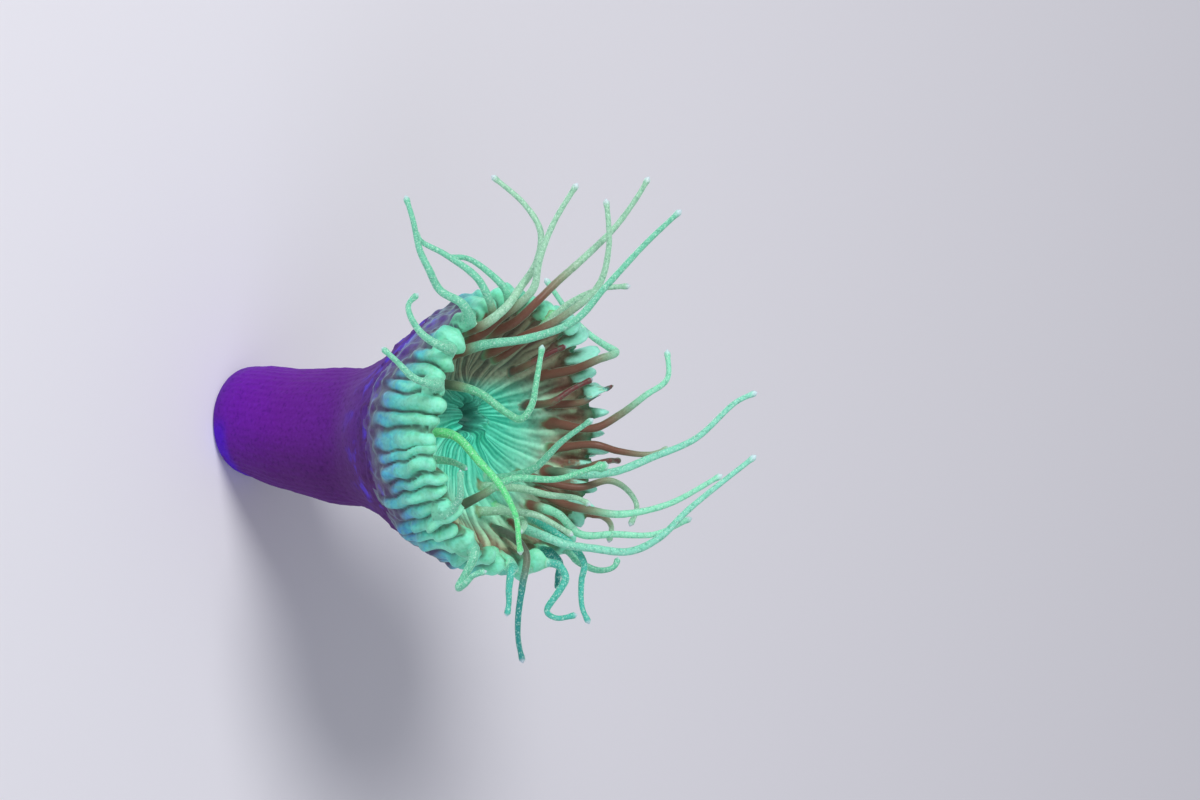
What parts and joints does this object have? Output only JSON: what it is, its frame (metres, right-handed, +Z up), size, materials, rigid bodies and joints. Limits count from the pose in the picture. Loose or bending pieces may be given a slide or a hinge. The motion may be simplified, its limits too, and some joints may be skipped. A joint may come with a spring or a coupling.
{
  "type": "sea anemone",
  "caption": "Life-size still sea anemone standing on its foot: a slender violet column, a swollen collar of mint-green lobes, and long tapering knob-tipped tentacles.",
  "frame": {"origin": "middle of the foot's flat sole, at the level of the floor it stands on", "axes": "+Z up the column towards the crown; -Y faces the viewer of the main picture; +X is the side towards which the crown is shifted"},
  "size_m": [0.1462, 0.1068, 0.1632],
  "materials": {
    "column_skin": "moist soft skin of the column, violet, satin",
    "collar_skin": "moist swollen lobes of the margin, glowing mint green, satin",
    "disc_skin": "thin wet skin of the oral disc and lips, olive brown to turquoise, satin",
    "tentacle_skin": "translucent tentacle skin with fine speckles, mint green with brown bases, satin"
  },
  "bodies": {
    "root": {"collar_1": "collar_skin", "collar_2": "collar_skin", "collar_3": "collar_skin", "collar_4": "collar_skin", "collar_5": "collar_skin", "collar_6": "collar_skin", "column_lower": "column_skin", "column_upper": "column_skin", "crown": "column_skin", "foot": "column_skin", "lips": "disc_skin", "oral_disc": "disc_skin", "tentacle_01": "tentacle_skin", "tentacle_02": "tentacle_skin", "tentacle_03": "tentacle_skin", "tentacle_04_end": "tentacle_skin", "tentacle_04_shaft": "tentacle_skin", "tentacle_05": "tentacle_skin", "tentacle_06_end": "tentacle_skin", "tentacle_06_shaft": "tentacle_skin", "tentacle_07_end": "tentacle_skin", "tentacle_07_shaft": "tentacle_skin", "tentacle_08_end": "tentacle_skin", "tentacle_08_shaft": "tentacle_skin", "tentacle_09": "tentacle_skin", "tentacle_10": "tentacle_skin", "tentacle_11": "tentacle_skin", "tentacle_12_end": "tentacle_skin", "tentacle_12_shaft": "tentacle_skin", "tentacle_13": "tentacle_skin", "tentacle_14_end": "tentacle_skin", "tentacle_14_shaft": "tentacle_skin", "tentacle_15": "tentacle_skin", "tentacle_16": "tentacle_skin", "tentacle_17": "tentacle_skin", "tentacle_18": "tentacle_skin", "tentacle_19": "tentacle_skin", "tentacle_20": "tentacle_skin", "tentacle_21": "tentacle_skin", "tentacle_22": "tentacle_skin", "tentacle_23": "tentacle_skin", "tentacle_24": "tentacle_skin", "tentacle_25": "tentacle_skin", "tentacle_26": "tentacle_skin", "tentacle_27": "tentacle_skin", "tentacle_28": "tentacle_skin", "tentacle_29": "tentacle_skin", "tentacle_30": "tentacle_skin", "tentacle_31": "tentacle_skin", "tentacle_32": "tentacle_skin", "tentacle_33": "tentacle_skin", "tentacle_34": "tentacle_skin", "tentacle_35": "tentacle_skin", "tentacle_36": "tentacle_skin", "tentacle_37": "tentacle_skin", "tentacle_38": "tentacle_skin", "tentacle_39": "tentacle_skin", "tentacle_40": "tentacle_skin"}
  },
  "joints": []
}
